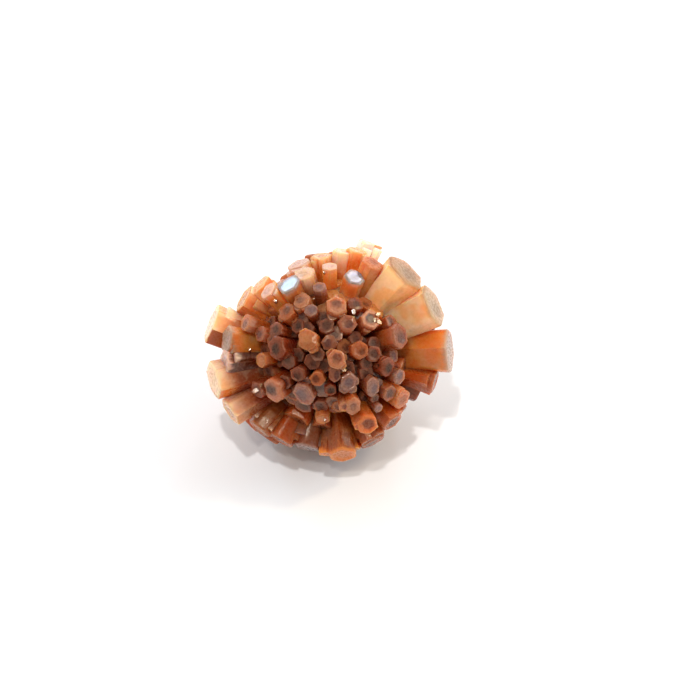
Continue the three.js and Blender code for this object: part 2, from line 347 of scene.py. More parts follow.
def placed(right, up, towards, width, thickness, turn, finish, root_right=0, root_up=0):
    """A column from one row of the tables."""
    root = on_display(root_right, root_up, 0)
    end = on_display(right, up, towards)
    return Column(root, end, width * MM, thickness, math.radians(turn), finish)


by_hand = [placed(*row) for row in RIM + MIDDLE]
print("columns placed by hand:", len(by_hand))

# %% [markdown]
# ## Lit and shaded sides
# On some stout columns one side catches the lamps and the next lies in shade, and that is painted: the sides
# that catch the light get paler finishes as painted light, the sides in shade get rustier ones as painted
# shade, and where the lamps leave a side too dark, a brighter orange is painted on it as light. They share
# one outline, so only the colours of single sides are changed.

# %% Lit and shaded sides
# {number of a column: {side, counted from the corner that its turn gives: finish}}
# Pale finishes on sides that catch the light are painted light, and rustier ones on sides in shade are
# painted shade.
LIT_AND_SHADED_SIDES = {
    0: {2: "apricot", 0: "ice"},
    23: {5: "shell", 3: "painted_light_orange"},
    26: {3: "rust", 2: "brick", 5: "apricot"},
    27: {3: "brick", 5: "cream"},
    28: {4: "painted_light_orange"},
}
print("columns with differing sides:", len(LIT_AND_SHADED_SIDES))

# %% [markdown]
# ## Scattered columns
# The hidden sides and the small columns in the recesses needn't stand in a given place. They follow a
# golden-angle spiral over the ball, which spreads directions evenly, and are left out where a column is
# already near. Their sizes come from a formula that gives the same irregular share for the same column each
# time, so the cluster grows alike on every run.

# %% Directions and room for scattered columns
SPREAD_STEP = 30  # degrees
# How far they may reach from the axis of the display side, in mm, at each step clockwise from its top.
SPREAD = [11.2, 12.2, 12.2, 13.2, 10.2, 10.8, 11.6, 11.6, 12.6, 11.8, 11.2, 9.8]
FLATNESS = 0.9  # thickness of a scattered column, as a share of its width
GOLDEN_ANGLE = math.pi * (3 - math.sqrt(5))
print("golden angle, degrees:", round(math.degrees(GOLDEN_ANGLE), 1))


def vary(i, k):
    """An even but irregular share between 0 and 1 for item i of series k."""
    x = math.sin(i * 12.9898 + k * 78.233) * 43758.5453
    return x - math.floor(x)


def between(limits, share):
    return limits[0] + (limits[1] - limits[0]) * share


def scattered(i, count):
    """Direction i of count, spread evenly over the ball from the middle of the display side."""
    towards = 1 - 2 * (i + 0.5) / count
    turn = i * GOLDEN_ANGLE
    aside = math.sqrt(1 - towards * towards)
    return RIGHT * (aside * math.cos(turn)) + UP * (aside * math.sin(turn)) + TOWARDS * towards


def spread_towards(axis):
    """How far the cluster may spread from the axis of the display side, towards a direction."""
    clock = (math.degrees(math.atan2(axis.dot(RIGHT), axis.dot(UP))) + 360) % 360 / SPREAD_STEP
    before = math.floor(clock)
    return between((SPREAD[before], SPREAD[(before + 1) % len(SPREAD)]), clock - before) * MM


def nearest_axis(axis, others):
    """The least angle between a direction and the axes of other columns."""
    return min(axis.angle(other.end) for other in others)


def nearest_side(axis, others):
    """The least angle between a direction and the sides of other columns."""
    return min(axis.angle(other.end) - other.width / 2 / other.end.length for other in others)


def radial(axis, reach, width, thickness, turn, finish):
    """A column straight out of the growth centre."""
    return Column(Vector(), axis * reach, width, thickness, turn, finish)


# %% Settings of the hidden sides and recesses
FOOT = radial(DOWN, CENTRE_HEIGHT, 5.4 * MM, 0.95, math.radians(8), "rust")
# Columns that fill recesses: count directions over the whole ball, of which those from start to stop degrees
# from the middle of the display side are used, if they are at least clear degrees from any column's side.
FRONT_FILL = dict(count=900, start=0, stop=55, clear=0.5, width=(1.7, 2.3), reach=(8.0, 9.3))
BACK_FILL = dict(count=500, start=64, stop=180, clear=1.0, width=(2.4, 3.2), reach=(8.0, 9.6))
BACK_COUNT = 150  # directions over the whole ball
BACK_START = math.radians(74)  # from the middle of the display side
BACK_APART = math.radians(15)  # from a column of the tables
FOOT_APART = math.radians(20)  # from straight down
BACK_WIDTH = (3.0, 4.6)  # mm
BACK_REACH = (10.2, 12.6)  # mm
# A finish that is given twice is picked twice as often.
# The dark finishes of the columns in the recesses, and of those that show between the columns of the tables,
# are partly the crystals' own colour and partly painted shade of the gaps.
FRONT_FINISHES = ("dark", "dark", "ruby", "mauve", "rust", "grey", "dark")
BACK_FINISHES = ("rust", "amber", "peach", "mauve", "cream", "rust", "lavender", "amber", "grey", "honey")
EDGE_FINISHES = ("rust", "ruby", "mauve", "dark", "rust")  # where they show between the columns of the tables
EDGE_STOP = math.radians(105)  # from the middle of the display side
LIT_UPPER_FINISHES = ("brick", "amber", "painted_light_orange", "brick", "rust")  # paler finishes, painted light, as the upper edge gets the most light
UPPER_START = 0.5  # a direction's share of up from where it counts as upper
print("foot, mm across:", round(FOOT.width / MM, 1))


# %% Hidden sides and recesses
def pick_finish(i, axis, finishes):
    """A finish for a scattered column: a dark one near the display side, partly painted shade, and on its
    upper edge a paler one as painted light.
    """
    if axis.angle(TOWARDS) < EDGE_STOP and finishes is BACK_FINISHES:
        finishes = EDGE_FINISHES
    if axis.angle(TOWARDS) < EDGE_STOP and axis.dot(UP) > UPPER_START:
        finishes = LIT_UPPER_FINISHES
    return finishes[int(vary(i, 5) * len(finishes))]


def fillers(others, finishes, count, start, stop, clear, width, reach):
    """Short columns in the recesses that the others leave. Angles are in degrees, lengths in mm."""
    found = []
    for i in range(count):
        axis = scattered(i, count)
        from_front = axis.angle(TOWARDS)
        if not start <= math.degrees(from_front) <= stop:
            continue
        if math.degrees(nearest_side(axis, others + found)) < clear:
            continue
        length = min(between(reach, vary(i, 2)) * MM, spread_towards(axis) / math.sin(from_front))
        finish = pick_finish(i, axis, finishes)
        found.append(radial(axis, length, between(width, vary(i, 1)) * MM, FLATNESS,
                            math.radians(60 * vary(i, 3)), finish))
    return found


def back_columns(others):
    """Columns of the hidden sides. None reaches past the spread of the display side or below the foot."""
    found = []
    for i in range(BACK_COUNT):
        axis = scattered(i, BACK_COUNT)
        from_front = axis.angle(TOWARDS)
        from_down = axis.angle(DOWN)
        if from_front < BACK_START or from_down < FOOT_APART:
            continue
        if nearest_axis(axis, others) < BACK_APART:
            continue
        width = between(BACK_WIDTH, vary(i, 1)) * MM
        room = spread_towards(axis) - width / 2 * abs(math.cos(from_front))
        reach = min(between(BACK_REACH, vary(i, 2)) * MM, room / math.sin(from_front))
        if from_down < math.pi / 2:
            reach = min(reach, (CENTRE_HEIGHT - width / 2 * math.sin(from_down)) / math.cos(from_down))
        finish = pick_finish(i, axis, BACK_FINISHES)
        found.append(radial(axis, reach, width, FLATNESS, math.radians(60 * vary(i, 3)), finish))
    return found


grown_out = by_hand + back_columns(by_hand)
columns = by_hand + [FOOT] + grown_out[len(by_hand):]
columns += fillers(columns, FRONT_FINISHES, **FRONT_FILL)
columns += fillers(columns, BACK_FINISHES, **BACK_FILL)
print("columns:", len(columns))

# %% [markdown]
# ## Intergrown twins
# A stout column is seldom alone: thinner ones grow along its sides, parallel to it, and stop a little short
# of its end. They give the real thing its small bright steps. Each is a column like the others, set off
# sideways from a stout one, so it can be worked out from it.

# %% Twins beside the stout columns
TWIN_FROM = 2.3 * MM  # a column at least this wide has twins
MOST_TWINS = 3
TWIN_LENGTH = 5 * MM  # only this much of a twin stands out of the stout one
TWIN_WIDTH = (0.36, 0.60)  # as a share of the stout column's width
TWIN_ASIDE = (0.28, 0.38)  # of its axis from the stout one's, as a share of that width
TWIN_SHORT = (0.04, 0.35)  # how far its end lies below the stout one's, as a share of that width
TWIN_LEAN = 0.5  # how far its root lies back towards that axis, as a share of the way aside
LOWEST_TWIN = 1.5 * MM  # no twin ends lower than this above the floor
NO_TWINS = (5, 8, 9, 10, 11, 12, 54)  # numbers of columns that stand alone
LEAST_ACROSS = 0.3  # where less of UP than this lies across a column, its outline is turned from TOWARDS


def across(axis):
    """The direction that a column's outline is turned from."""
    level = UP - axis * UP.dot(axis)
    if level.length < LEAST_ACROSS:
        level = TOWARDS - axis * TOWARDS.dot(axis)
    return level.normalized()


def twins(column, seed):
    """The thinner columns that grew along a stout one."""
    axis = (column.end - column.root).normalized()
    found = []
    for k in range(1 + int(MOST_TWINS * vary(seed, 11))):
        angle = column.turn + math.radians(60 * (int(6 * vary(seed, 12 + k)) + 0.5))  # the middle of a side
        side = Quaternion(axis, angle) @ across(axis)
        aside = side * between(TWIN_ASIDE, vary(seed, 16 + k)) * column.width
        drop = axis * between(TWIN_SHORT, vary(seed, 20 + k)) * column.width
        end = column.end + aside - drop
        if (CENTRE + end).z < LOWEST_TWIN:
            continue
        width = between(TWIN_WIDTH, vary(seed, 24 + k)) * column.width
        root = end - axis * TWIN_LENGTH - aside * TWIN_LEAN
        found.append(Column(root, end, width, 1.0, column.turn, column.finish))
    return found


candidates = [(i, column) for i, column in enumerate(columns) if column in grown_out and i not in NO_TWINS]
stout = [(i, column) for i, column in candidates if column.width >= TWIN_FROM]
twin_columns = [twin for i, column in stout for twin in twins(column, i)]
print("twins:", len(twin_columns))

# %% [markdown]
# ## Sparks
# Here and there a tiny crystal or a chipped corner happens to face halfway between a lamp and the viewer,
# and flashes. Leaving that to chance would need thousands of crystals. These few are listed one by one and
# turned by that same rule: the direction halfway between two directions is their sum, made one unit long.

# %% Small crystals that catch the light
SPARK_LENGTH = 2.5 * MM
SPARK_THICKNESS = 0.65  # as a share of the width


def halfway(direction):
    """The direction that a face must point in to mirror a lamp to the viewer of the display side."""
    return (direction.normalized() + TOWARDS).normalized()


# Right, up and towards the viewer in mm, width in mm and the direction of the lamp that it mirrors.
SPARKS = [
    (2.6, 4.3, 8.3, 0.75, OVERHEAD),
    (2.5, 3.7, 8.7, 0.50, SIDEWAYS),
    (-7.9, -4.1, 6.9, 0.90, OVERHEAD),
    (-7.3, -3.6, 7.1, 0.50, SIDEWAYS),
    (-7.1, -4.9, 7.2, 0.60, SIDEWAYS),
    (5.20, 4.05, 8.25, 0.80, SIDEWAYS),
    (4.85, 3.45, 8.45, 0.65, SIDEWAYS),
    (5.30, 3.25, 8.40, 0.85, SIDEWAYS),
    (1.6, -1.9, 9.6, 0.60, SIDEWAYS),
    (-8.6, 0.3, 6.6, 0.40, OVERHEAD),
    (-0.6, 8.6, 6.3, 0.40, OVERHEAD),
    (-5.8, 5.5, 6.9, 0.45, OVERHEAD),
    (-0.5, -7.2, 6.95, 0.45, OVERHEAD),
]
spark_columns = []
for i, (right, up, towards, width, source) in enumerate(SPARKS):
    end = on_display(right, up, towards)
    root = end - halfway(source) * SPARK_LENGTH
    spark_columns.append(Column(root, end, width * MM, SPARK_THICKNESS, i, "spark"))
print("sparks:", len(spark_columns))

# %% [markdown]
# ## Crystal forms
# A column could be a plain six-sided prism, but a real one has worn corners, fine ridges along its sides
# and an end that stopped growing in steps. So a few forms are modelled step by step, one unit wide, and every
# column is a copy of one of them. A form starts as a hexagon whose sides are subdivided. Chosen points are
# drawn in for ridges and notches, the ring is extruded down for the body, and ring after ring is extruded
# inwards for the end. Points are picked by their place, as with a box selection.

# %% Tools for modelling a form
HEAD = 0.35  # the end zone of a form that keeps its shape, as a share of the width; the rest is stretched
CORNERS = 6
SAME_LEVEL = 1e-4  # points this near to a height are taken as on it


def pick(piece, chosen):
    """Opens a piece for editing with only those points selected for which chosen(place) is true."""
    bpy.ops.object.mode_set(mode="OBJECT")
    for edge in piece.data.edges:
        edge.select = False
    for face in piece.data.polygons:
        face.select = False
    for point in piece.data.vertices:
        point.select = bool(chosen(point.co))
    bpy.ops.object.mode_set(mode="EDIT")


def extrude(rise, share=1.0, height=0.0):
    """Extrudes what is selected along Z, then draws it in towards the axis."""
    bpy.ops.mesh.extrude_region_move(TRANSFORM_OT_translate={"value": (0, 0, rise)})
    bpy.ops.transform.resize(value=(share, share, 1), center_override=(0, 0, height))


def place_on_side(point, per_side):
    """Which point of the ring this is, counted from a corner."""
    angle = math.degrees(math.atan2(point.y, point.x)) % 360
    side = int(angle // 60)
    start = Vector((math.cos(math.radians(60 * side)), math.sin(math.radians(60 * side)), 0)) / 2
    return side, round((Vector((point.x, point.y, 0)) - start).length * 2 * per_side)


def crystal_form(name, per_side, drawn_in, end):
    """A column one unit across: drawn_in is {(side, point): share of its distance from the axis}, with side
    None for every side, and end lists the rings of the end as (share of the outline, height)."""
    bpy.ops.object.select_all(action="DESELECT")
    bpy.ops.mesh.primitive_circle_add(vertices=CORNERS, radius=0.5, fill_type="NOTHING",
                                      rotation=(0, 0, math.radians(30)))
    form = bpy.context.object
    form.name = name
    bpy.ops.object.transform_apply(location=False, rotation=True, scale=True)
    bpy.ops.object.mode_set(mode="EDIT")
    bpy.ops.mesh.select_all(action="SELECT")
    bpy.ops.mesh.subdivide(number_cuts=per_side - 1)
    for (side, number), share in drawn_in.items():
        wanted = [(each, number) for each in range(CORNERS) if side in (None, each)]
        pick(form, lambda point: place_on_side(point, per_side) in wanted)
        bpy.ops.transform.resize(value=(share, share, 1), center_override=(0, 0, 0))
    bpy.ops.mesh.select_all(action="SELECT")
    extrude(-HEAD)
    extrude(HEAD - 1)
    bpy.ops.mesh.edge_face_add()
    pick(form, lambda point: abs(point.z) < SAME_LEVEL)
    before, level = 1.0, 0.0
    for share, height in end:
        extrude(height - level, share / before, height)
        before, level = share, height
    bpy.ops.mesh.edge_face_add()
    bpy.ops.mesh.select_all(action="SELECT")
    bpy.ops.transform.translate(value=(0, 0, -max(height for _, height in end)))
    bpy.ops.mesh.normals_make_consistent(inside=False)
    bpy.ops.object.mode_set(mode="OBJECT")
    print(name, "faces:", len(form.data.polygons))
    return form


# %% [markdown]
# ## Seven forms
# Four forms serve the ordinary columns, two with ridges and two with notches, so that neighbours differ.
# Pale and glassy columns have a flat end and rounder corners. The short and the slim form have fewer
# points, because hundreds of small copies are made of them. The last ring of each end lies near its middle:
# the finish knows how far it is from the axis only at the mesh's points, so without that ring an end would
# have no dark core.

# %% Outlines and ends
bpy.context.tool_settings.mesh_select_mode = (True, False, False)
WORN_CORNER = {(None, 0): 0.93, (None, 1): 0.98, (None, 4): 0.98}
RIDGED = WORN_CORNER | {(None, 2): 0.985, (0, 3): 0.975, (2, 4): 0.96, (4, 1): 0.97, (5, 3): 0.972}
NOTCHED = WORN_CORNER | {(0, 2): 0.975, (1, 2): 0.90, (1, 3): 0.955, (3, 1): 0.96, (4, 2): 0.90, (4, 3): 0.96}
WORN_EDGE = [(0.975, 0.026), (0.935, 0.046), (0.88, 0.058)]
DISHED_END = WORN_EDGE + [(0.74, 0.058), (0.68, 0.040), (0.34, 0.034)]
RAISED_END = WORN_EDGE + [(0.62, 0.062), (0.56, 0.074), (0.34, 0.074)]
STEPPED_END = WORN_EDGE + [(0.84, 0.074), (0.66, 0.076), (0.60, 0.060), (0.34, 0.060)]
FLAT_END = WORN_EDGE + [(0.70, 0.062), (0.34, 0.062)]
WORN_END = [(0.975, 0.026), (0.93, 0.052), (0.85, 0.070), (0.68, 0.082), (0.34, 0.082)]
SHORT_END = [(0.97, 0.03), (0.90, 0.05), (0.66, 0.04), (0.34, 0.04)]
SLIM_END = [(0.95, 0.04), (0.89, 0.05), (0.82, 0.05), (0.34, 0.05)]
ROUND_CORNER = {(None, 0): 0.935, (None, 1): 0.98, (None, 6): 0.98}
SMOOTH = ROUND_CORNER | {(1, 5): 0.975, (3, 3): 0.98, (5, 2): 0.975}
print("rings of an end:", len(DISHED_END))

# %% Model the forms
forms = [
    crystal_form("dished_column", 5, RIDGED, DISHED_END),
    crystal_form("raised_column", 5, NOTCHED, RAISED_END),
    crystal_form("stepped_column", 5, RIDGED, STEPPED_END),
    crystal_form("worn_column", 5, NOTCHED, WORN_END),
]
flat = crystal_form("flat_column", 7, SMOOTH, FLAT_END)
short = crystal_form("short_column", 3, {(None, 0): 0.96, (2, 1): 0.94}, SHORT_END)
slim = crystal_form("slim_crystal", 2, {(None, 0): 0.96}, SLIM_END)

# %% [markdown]
# ## One copy for each column
# Every column has its own outline, a hexagon with slightly strayed corners, and gets a little narrower
# towards its root. A form is fitted to it by a simple rule: a point keeps its share of the way to the two
# corners next to it. The end zone grows with the width, so that its rim keeps its shape, and only the body
# is stretched. The end is also tilted a few degrees, as on real crystals, and lowered so that no corner
# stands out. A few ends face a direction that is given instead.

# %% Settings of the fit
PAST_CENTRE = 0.8 * MM  # how far behind its root a column's width starts to grow
HEART = 6 * MM  # radius of the lump in the middle, where all columns have grown together
HEART_SUBDIVISIONS = 4
IN_HEART = 1 * MM  # how deep a column starts in that lump
FLARE = 0.3  # share of its width that a column gains from root to end
UNEVEN = 0.16  # how far a corner may stray round its outline, as a share of a side
TILT = 0.045  # most slope of an end
AIMED_ENDS = {  # {number: where its end faces, right, up and towards the viewer of the display side}
    8: (0.20, 0.64, 0.74),
    10: (0.63, 0.66, 0.42),
    11: (0.84, 0.38, 0.39),
    12: (0.97, 0.01, 0.25),
    16: (0.22, -0.52, 0.83),
    18: (0.10, -0.90, 0.42),
    36: (-0.33, 0.15, 0.93),
    66: (-0.10, 0.42, 0.90),
    67: (0.12, -0.06, 0.99),
}
BROADEST = 3.6 * MM  # the worn edge of a broader column is no rounder than at this width
print("columns with an aimed end:", len(AIMED_ENDS))


# %% Outlines of columns
def outline(width, thickness, seed):
    """The six corners of a column's end."""
    corners = []
    for corner in range(CORNERS):
        angle = (corner + UNEVEN * (vary(seed, corner) - 0.5)) * math.pi / 3
        corners.append((math.cos(angle) * width / 2, math.sin(angle) * width * thickness / 2))
    return np.array(corners)


EVEN = np.array([(math.cos(k * math.pi / 3) / 2, math.sin(k * math.pi / 3) / 2) for k in range(CORNERS)])


def corner_shares(points, corners):
    """For each point: its sector, and its shares of the two corners that bound the sector."""
    sector = np.zeros(len(points), int)
    shares = np.full((len(points), 2), -np.inf)
    for k in range(CORNERS):
        pair = np.stack([corners[k], corners[(k + 1) % CORNERS]], axis=1)
        found = points @ np.linalg.inv(pair).T
        better = found.min(axis=1) > shares.min(axis=1)
        sector[better] = k
        shares[better] = found[better]
    return sector, shares


# %% A column's own space
def basis(column):
    """A column's own directions and its end, as a matrix that takes its space to the cluster's."""
    axis = (column.end - column.root).normalized()
    side = Quaternion(axis, column.turn) @ across(axis)
    matrix = Matrix((side, axis.cross(side), axis)).transposed().to_4x4()
    matrix.translation = CENTRE + column.end
    return matrix


def length_of(column):
    return (column.end - column.root).length + PAST_CENTRE


def start_of(column):
    """How far below its end a column starts."""
    length = (column.end - column.root).length
    return min(length, column.end.length - HEART + IN_HEART)


# %% Fit a form to a column
def fitted(points, column, seed):
    """A form's points, fitted to a column and in its place."""
    sector, shares = corner_shares(points[:, :2], EVEN)
    corners = outline(column.width, column.thickness, seed)
    flat = shares[:, :1] * corners[sector] + shares[:, 1:] * corners[(sector + 1) % CORNERS]
    length, size = length_of(column), min(column.width, BROADEST)
    head = HEAD * size
    below = (points[:, 2] + HEAD) / (1 - HEAD) * (start_of(column) - head) - head
    height = np.where(points[:, 2] > -HEAD, points[:, 2] * size, below)
    flat *= (1 + FLARE * height / length)[:, None]
    slope = np.array([vary(seed, 31) - 0.5, vary(seed, 32) - 0.5]) * 2 * TILT
    if column is FOOT or column in spark_columns:
        slope *= 0  # the foot stands flat, and a spark already faces where it should
    matrix = np.array(basis(column))
    lowered = (corners @ slope).max()
    if seed in AIMED_ENDS:
        aim = np.array(on_display(*AIMED_ENDS[seed])) @ matrix[:3, :3]
        slope, lowered = -aim[:2] / aim[2], 0
    near_end = np.clip(1 + height / head, 0, 1)
    height = height + (flat @ slope - lowered) * near_end
    local = np.column_stack([flat, height, np.ones(len(points))])
    return (local @ matrix.T)[:, :3]


# %% Copy the forms
def points_of(mesh):
    found = np.empty(len(mesh.vertices) * 3)
    mesh.vertices.foreach_get("co", found)
    return found.reshape(-1, 3)


FLAT_FINISHES = ("mirror", "honey", "butter", "ice", "lavender", "copper", "cream")
SLIM_BELOW = 1.3 * MM


def form_for(number, column):
    """The form that a column is copied from: a short one for twins and in the recesses."""
    if column.width < SLIM_BELOW:
        return slim
    if column is FOOT:
        return forms[0]
    if column.finish in FLAT_FINISHES:
        return flat
    if number >= len(grown_out):
        return short
    return forms[int(vary(number, 7) * len(forms))]


all_columns = columns + twin_columns + spark_columns
crystals = bpy.data.collections.new("crystals")
scene.collection.children.link(crystals)
for number, column in enumerate(all_columns):
    form = form_for(number, column)
    mesh = form.data.copy()
    mesh.vertices.foreach_set("co", fitted(points_of(form.data), column, number).ravel())
    marks = mesh.attributes.new("crystal", "INT", "FACE")
    marks.data.foreach_set("value", np.full(len(mesh.polygons), number, np.int32))
    crystals.objects.link(bpy.data.objects.new(f"crystal_{number}", mesh))
for form in forms + [flat, short, slim]:
    bpy.data.objects.remove(form)

# %% [markdown]
# ## One cluster
# The crystals grew into each other, so they become one closed surface, with nothing hidden inside. A
# Boolean modifier with a whole collection joins them in one go, and each face keeps the number of its
# crystal, which the finish needs later. Small pockets that are shut in between columns would be loose
# shells inside, so only the largest shell is kept.

# %% Join the crystals
bpy.ops.object.select_all(action="DESELECT")
bpy.ops.mesh.primitive_ico_sphere_add(subdivisions=HEART_SUBDIVISIONS, radius=HEART, location=CENTRE)
bpy.ops.object.transform_apply(location=True, rotation=True, scale=True)
cluster = bpy.context.object
marks = cluster.data.attributes.new("crystal", "INT", "FACE")
marks.data.foreach_set("value", np.full(len(cluster.data.polygons), len(all_columns), np.int32))
join = cluster.modifiers.new("join", "BOOLEAN")
join.operation = "UNION"
join.operand_type = "COLLECTION"
join.collection = crystals
join.solver = "MANIFOLD"
bpy.ops.object.modifier_apply(modifier="join")
for each in list(crystals.objects):
    bpy.data.objects.remove(each)
bpy.data.collections.remove(crystals)
print("faces after the union:", len(cluster.data.polygons))

# %% Keep the outer shell
bpy.ops.object.mode_set(mode="EDIT")
bpy.ops.mesh.separate(type="LOOSE")
bpy.ops.object.mode_set(mode="OBJECT")
shells = sorted(bpy.context.selected_objects, key=lambda shell: len(shell.data.polygons))
cluster = shells.pop()
for shell in shells:
    bpy.data.objects.remove(shell)
cluster.name = "aragonite_crystals"
cluster.data.name = "aragonite_crystals"
bpy.context.view_layer.objects.active = cluster
print("inner shells dropped:", len(shells))

# %% [markdown]
# ## Triangles and shading
# The union leaves faces with many sides, and those are shaded unevenly, so all faces become triangles.
# Shading is smooth across the shallow steps of a worn edge and sharp where two faces of a crystal meet.

# %% Triangles and shading
SHARP_FROM = math.radians(31)
bpy.ops.object.mode_set(mode="EDIT")
bpy.ops.mesh.select_all(action="SELECT")
bpy.ops.mesh.quads_convert_to_tris()
bpy.ops.object.mode_set(mode="OBJECT")
bpy.ops.object.shade_smooth_by_angle(angle=SHARP_FROM)
print("triangles:", len(cluster.data.polygons))

# %% [markdown]
# ## What the finish needs to know
# The finish of a crystal changes with the distance from its end and from its axis. A pattern on Object
# coordinates can't know that, because every crystal points another way. So each corner of each face gets
# its place within its own crystal, and the values of that crystal's finish, as attributes that the material
# reads. There are seven: grain is the place within the crystal in mm, with the depth below its end last.
# Zone says how far from the core, if on the end, and how near to an edge. Rim, core and body are colours.
# Habit holds the tip, how deep the painted light reaches before the painted shade, and the gloss, and pattern
# how streaky and how speckled it is.

# %% Settings of the attributes
CORE_STRAY = 0.16  # how far the core of an end lies off its middle, as a share of the width
LIGHTNESS = (0.82, 1.02)  # of one crystal against the next
SIDE_TINT = (0.78, 1.15)  # of one side of a crystal against the next
# How deep the painted light reaches down a column's sides before the painted shade begins: short where a
# column faces the viewer, longer towards the outline and on the upper columns, which get the most light.
LIT_DEPTH_ANGLES = (35, 60)  # degrees from the middle of the display side
LIT_DEPTH = (1.0, 3.2)  # mm from the end to where the painted shade of the sides starts, at those angles
UPPER_LIT_DEPTH = 2.0  # how much further the painted light reaches down the upper columns
GRAIN_SHIFT = 80  # mm, how far two crystals may lie apart in the patterns, so that no two look alike
END_FACING = 0.5  # a face of the end points along the axis with at least this share of its normal
END_DEPTH = 0.3  # and lies no deeper than this share of the width
NEAR_AXIS = 0.05  # closer to the axis than this share of the outline, edges are left blurred

# %% Read the joined mesh
mesh = cluster.data
face_crystal = np.empty(len(mesh.polygons), np.int32)
mesh.attributes["crystal"].data.foreach_get("value", face_crystal)
corner_point = np.empty(len(mesh.loops), np.int32)
mesh.loops.foreach_get("vertex_index", corner_point)
normals = np.empty(len(mesh.polygons) * 3)
mesh.polygons.foreach_get("normal", normals)
normals = normals.reshape(-1, 3)
corner_face = np.repeat(np.arange(len(mesh.polygons)), 3)
corner_crystal = face_crystal[corner_face]
places = points_of(mesh)[corner_point]
face_middle = places.reshape(-1, 3, 3).mean(axis=1)
print("corners of faces:", len(places))


# %% Place and colours within one crystal
def within(points, matrix):
    """Points of the cluster in a column's own space."""
    return (np.column_stack([points, np.ones(len(points))]) @ np.array(matrix.inverted()).T)[:, :3]


def zones(mine, local, column, number):
    """How far from core to outline each corner lies, if it is on the end, and how near to an edge."""
    corners = outline(column.width, column.thickness, number)
    flat = local[:, :2] / (1 + FLARE * local[:, 2:] / length_of(column))
    stray = np.array([vary(number, 33) - 0.5, vary(number, 34) - 0.5]) * CORE_STRAY * column.width
    _, from_core = corner_shares(flat + stray, corners)
    _, from_middle = corner_shares(flat, corners)
    off_axis = np.maximum(from_middle.sum(axis=1), NEAR_AXIS)
    near_edge = np.abs(from_middle[:, 0] - from_middle[:, 1]) / off_axis
    facing_out = normals[corner_face[mine]] @ np.array(basis(column).to_3x3().col[2])
    on_end = (facing_out > END_FACING) & (local[:, 2] > -END_DEPTH * column.width)
    return np.column_stack([from_core.sum(axis=1), on_end, near_edge])


def colours(mine, on_end, column, number):
    """The rim, core and body colours of each corner, from the side of the crystal that it lies on, where
    single sides carry painted light and shade.
    """
    corners = outline(column.width, column.thickness, number)
    sector, _ = corner_shares(within(face_middle[corner_face[mine]], basis(column))[:, :2], corners)
    light = between(LIGHTNESS, vary(number, 42))
    tints = np.array([between(SIDE_TINT, vary(number, 50 + k)) for k in range(CORNERS)])[sector][:, None]
    sides = [FINISHES[LIT_AND_SHADED_SIDES.get(number, {}).get(k, column.finish)] for k in range(CORNERS)]
    side_rim = np.array([side.rim for side in sides])[sector] * tints
    side_body = np.array([side.body for side in sides])[sector]
    finish = FINISHES[column.finish]
    rim_here = np.clip(np.where(on_end[:, None] > 0, finish.rim, side_rim) * light, 0, 1)
    return rim_here, np.clip(np.array(finish.core) * light, 0, 1), np.clip(side_body * light * tints, 0, 1)


def lit_depth_of(column):
    """How far from its end a column's sides stay lit before the painted shade starts, in mm."""
    from_front = math.degrees(column.end.angle(TOWARDS))
    glow = np.interp(from_front, LIT_DEPTH_ANGLES, LIT_DEPTH) * FINISHES[column.finish].glow
    return glow * (1 + UPPER_LIT_DEPTH * max(0, column.end.normalized().dot(UP)))


# %% Write the attributes
# The lump in the middle shows in a few deep recesses only. It keeps the values that all corners start with.
grain = (places - CENTRE) / MM
zone = np.zeros((len(places), 3))
habit = np.tile((0.4, 1.0, 0.0), (len(places), 1))
pattern = np.ones((len(places), 3))
rim, core, body = (np.tile(colour, (len(places), 1)) for colour in FINISHES["ruby"][:3])
for number, column in enumerate(all_columns):
    mine = corner_crystal == number
    if not mine.any():
        continue
    finish = FINISHES[column.finish]
    local = within(places[mine], basis(column))
    grain[mine] = local / MM + np.array([vary(number, 41), vary(number, 44), 0]) * GRAIN_SHIFT
    zone[mine] = zones(mine, local, column, number)
    rim[mine], core[mine], body[mine] = colours(mine, zone[mine][:, 1], column, number)
    habit[mine] = (finish.tip, lit_depth_of(column), finish.gloss)
    pattern[mine] = (finish.streaks, finish.grains, 0)
grain[:, 2] = np.abs(grain[:, 2])

attributes = dict(grain=grain, zone=zone, rim=rim, core=core, body=body, habit=habit, pattern=pattern)
for name, values in attributes.items():
    made = mesh.attributes.new(name, "FLOAT_VECTOR", "CORNER")
    made.data.foreach_set("vector", values.astype(np.float32).ravel())
mesh.attributes.remove(mesh.attributes["crystal"])
print("attributes:", ", ".join(attributes))

# %% [markdown]
# ## Aragonite finish
# Light enters cloudy aragonite, wanders inside and comes out tinted, so the shader's subsurface part does
# most of the work: short steps for blue, long ones for red, which makes thin tips glow orange. Transmission
# would make the crystals clear, and nothing can be seen through these. On top lies a glassy skin. The
# colour follows the crystal: pale at the tip, orange on the sides, dark red in the recesses, which is painted
# shade, and on the end a pale rim round a brown core. Fine streaks run along the sides, because each crystal
# is a bundle of fibres. So many nodes are easier to write than to drag, and a small class keeps that writing
# short.

